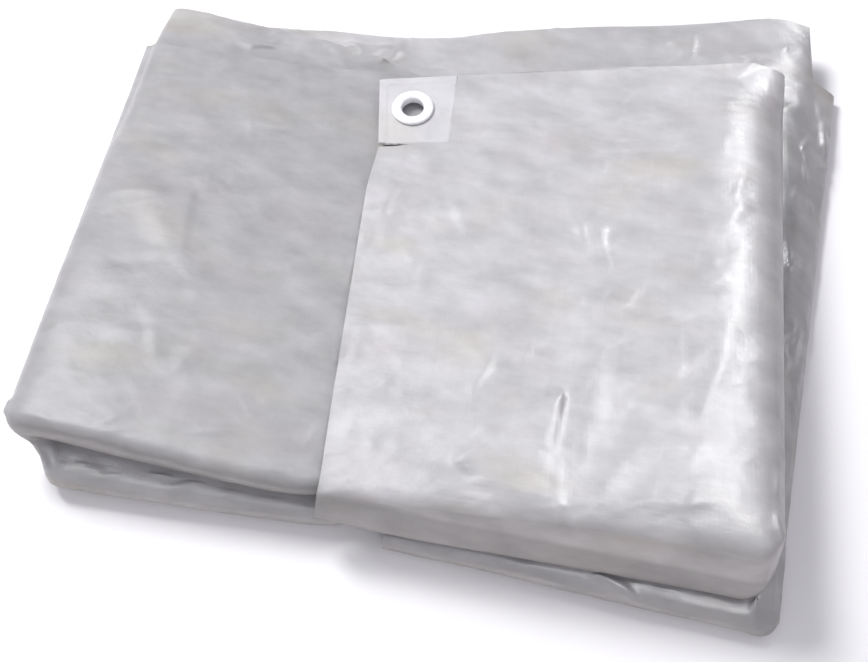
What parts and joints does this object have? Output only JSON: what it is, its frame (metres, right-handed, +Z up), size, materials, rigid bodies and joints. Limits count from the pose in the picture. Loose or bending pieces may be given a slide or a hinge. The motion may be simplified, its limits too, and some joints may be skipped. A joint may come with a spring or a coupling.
{
  "type": "folded protective sheet",
  "caption": "Folded rectangular sheet of translucent coated woven plastic, packed in back-and-forth layers, with a moulded eyelet in its free corner.",
  "frame": {"origin": "middle of the packet's footprint, on the surface it lies on", "axes": "+X along the folded front edge towards the side where the layers turn back, +Y away from the front fold, +Z up out of the surface"},
  "size_m": [0.4306, 0.3904, 0.051],
  "materials": {
    "film": "translucent white coated weave with a soft sheen and fine crinkles",
    "doubled_film": "the same weave doubled in a hem, whiter where it is double",
    "moulded_plastic": "smooth white moulded ring"
  },
  "bodies": {
    "root": {"sheet": "film", "corner_strip": "doubled_film", "eyelet": "moulded_plastic"}
  },
  "joints": []
}
